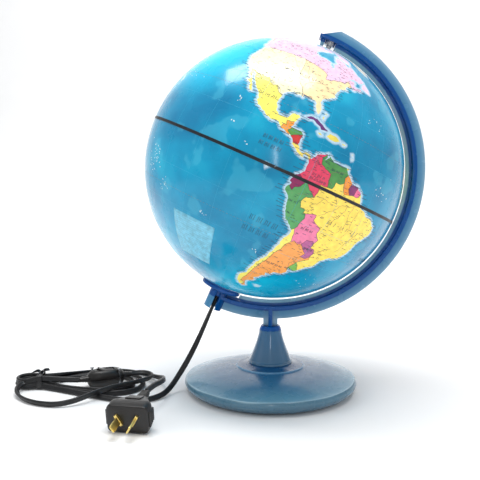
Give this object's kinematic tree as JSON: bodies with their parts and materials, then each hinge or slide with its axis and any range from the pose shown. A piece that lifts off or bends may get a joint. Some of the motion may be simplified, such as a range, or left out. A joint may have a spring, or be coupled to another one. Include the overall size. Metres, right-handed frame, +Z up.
{
  "type": "desktop globe on stand",
  "caption": "Illuminated desktop globe that spins on a tilted meridian arm above a round moulded stand, with a bulb inside and a corded plug.",
  "frame": {"origin": "centre of the stand's foot, on the surface that it stands on", "axes": "+Z up, +X towards the arm's side, so the polar axis leans from +Z towards +X and the lead lies towards -X"},
  "size_m": [0.4068, 0.2731, 0.3521],
  "materials": {
    "clear_blue": "translucent moulded",
    "deep_blue": "moulded gloss",
    "arm_blue": "translucent moulded gloss",
    "steel": "plated",
    "map_shell": "printed and varnished",
    "inner_plastic": "moulded",
    "black_tape": "printed",
    "copper": "bare ends",
    "holder_plastic": "moulded",
    "brass": "plain",
    "bulb_glass": "clear",
    "bulb_cap": "rolled",
    "filament": "plain",
    "cord_black": "satin flexible sheath",
    "tie_black": "plain",
    "black_plastic": "moulded satin",
    "brass_pin": "polished"
  },
  "bodies": {
    "stand": {"base_dome": "clear_blue", "pedestal_cone": "deep_blue", "stem_collar": "deep_blue", "meridian_arm": "arm_blue", "stem_screw": "steel", "stem_washer": "steel", "north_pivot_pin": "steel", "lamp_carrier": "deep_blue", "cord_grip": "inner_plastic", "inner_leads": "copper", "lampholder_body": "holder_plastic", "lampholder_cap": "holder_plastic", "screw_shell": "brass", "centre_contact": "brass", "terminal_screws": "brass", "cord_lead": "cord_black", "cord_coil": "cord_black", "cord_tail": "cord_black", "coil_tie": "tie_black", "switch_base": "black_plastic", "switch_cover": "black_plastic", "rocker_pin": "steel", "switch_contact": "brass", "switch_screws": "steel", "plug_body": "black_plastic", "plug_pins": "brass_pin", "plug_strain_relief": "black_plastic"},
    "globe": {"north_hemisphere": "map_shell", "south_hemisphere": "map_shell", "joining_ring": "inner_plastic", "equator_tape": "black_tape", "north_bush": "inner_plastic", "south_bush": "inner_plastic"},
    "bulb": {"bulb_glass": "bulb_glass", "bulb_cap": "bulb_cap", "bulb_filament": "filament"},
    "rocker": {"switch_rocker": "black_plastic"}
  },
  "joints": [
    {"name": "globe_spin", "type": "hinge", "parent": "stand", "child": "globe", "pos_m": [0.0023, 0, 0.2195], "axis": [0.4067, 0, 0.9135], "continuous": true},
    {"name": "bulb_unscrew", "type": "slide", "parent": "stand", "child": "bulb", "axis": [0.4067, 0, 0.9135], "range_m": [0, 0.026]},
    {"name": "rocker_tilt", "type": "hinge", "parent": "stand", "child": "rocker", "pos_m": [-0.169, 0.004, 0.0132], "axis": [0.4384, -0.8988, 0], "range_deg": [0, 14]}
  ]
}
